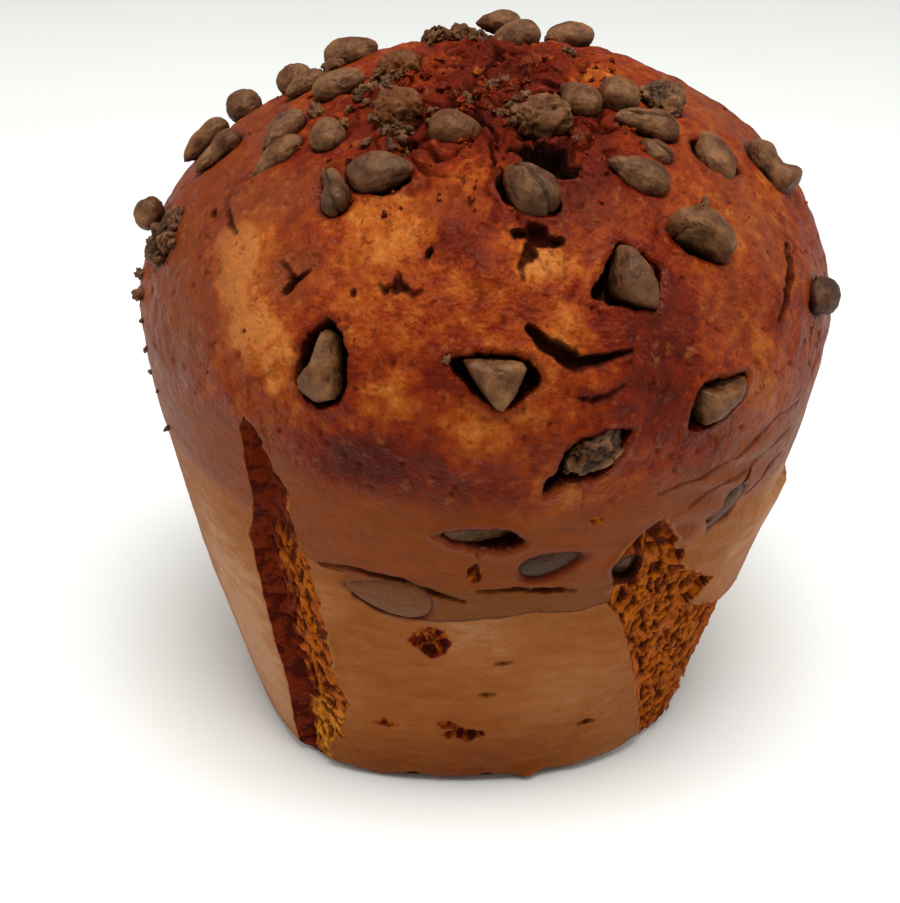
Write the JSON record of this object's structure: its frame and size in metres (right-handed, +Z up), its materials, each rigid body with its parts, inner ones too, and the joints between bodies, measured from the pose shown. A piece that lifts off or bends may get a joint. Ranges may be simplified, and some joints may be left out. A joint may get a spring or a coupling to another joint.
{
  "type": "chocolate chip muffin",
  "caption": "Whole domed muffin with chocolate chips, its wall marked by a folded paper case, standing on its flat base.",
  "frame": {"origin": "centre of the flat base", "axes": "+Z up to the crown, -Y towards the front with the large chips in baked pockets, +X to the right"},
  "size_m": [0.0766, 0.0769, 0.0769],
  "materials": {
    "crust": "baked crust, brown, slightly glossy on the dome and matte on the wall",
    "chocolate": "dull baked chocolate with a greyish bloom"
  },
  "bodies": {
    "root": {"chip_back_01": "chocolate", "chip_back_02": "chocolate", "chip_back_03": "chocolate", "chip_back_04": "chocolate", "chip_back_05": "chocolate", "chip_back_06": "chocolate", "chip_back_07": "chocolate", "chip_back_08": "chocolate", "chip_back_09": "chocolate", "chip_back_10": "chocolate", "chip_back_11": "chocolate", "chip_back_12": "chocolate", "chip_crown_a": "chocolate", "chip_crown_b": "chocolate", "chip_crown_c": "chocolate", "chip_crown_d": "chocolate", "chip_crown_e": "chocolate", "chip_crown_f": "chocolate", "chip_crown_g": "chocolate", "chip_crown_h": "chocolate", "chip_crown_i": "chocolate", "chip_front_a": "chocolate", "chip_front_b": "chocolate", "chip_front_c": "chocolate", "chip_front_d": "chocolate", "chip_right_a": "chocolate", "chip_right_b": "chocolate", "chip_right_c": "chocolate", "chip_right_d": "chocolate", "chip_right_e": "chocolate", "chip_right_f": "chocolate", "chip_right_g": "chocolate", "chip_right_h": "chocolate", "chip_right_i": "chocolate", "chip_right_j": "chocolate", "chip_right_k": "chocolate", "chip_right_l": "chocolate", "chip_shoulder_a": "chocolate", "chip_shoulder_b": "chocolate", "chip_shoulder_c": "chocolate", "chip_shoulder_d": "chocolate", "chip_shoulder_e": "chocolate", "chip_shoulder_f": "chocolate", "chip_shoulder_g": "chocolate", "chip_shoulder_h": "chocolate", "chip_shoulder_i": "chocolate", "chip_shoulder_j": "chocolate", "chip_shoulder_k": "chocolate", "chip_shoulder_l": "chocolate", "chip_shoulder_m": "chocolate", "chip_shoulder_n": "chocolate", "chip_side_a": "chocolate", "chip_side_b": "chocolate", "chip_side_c": "chocolate", "chip_side_d": "chocolate", "chip_side_e": "chocolate", "muffin_body": "crust"}
  },
  "joints": []
}
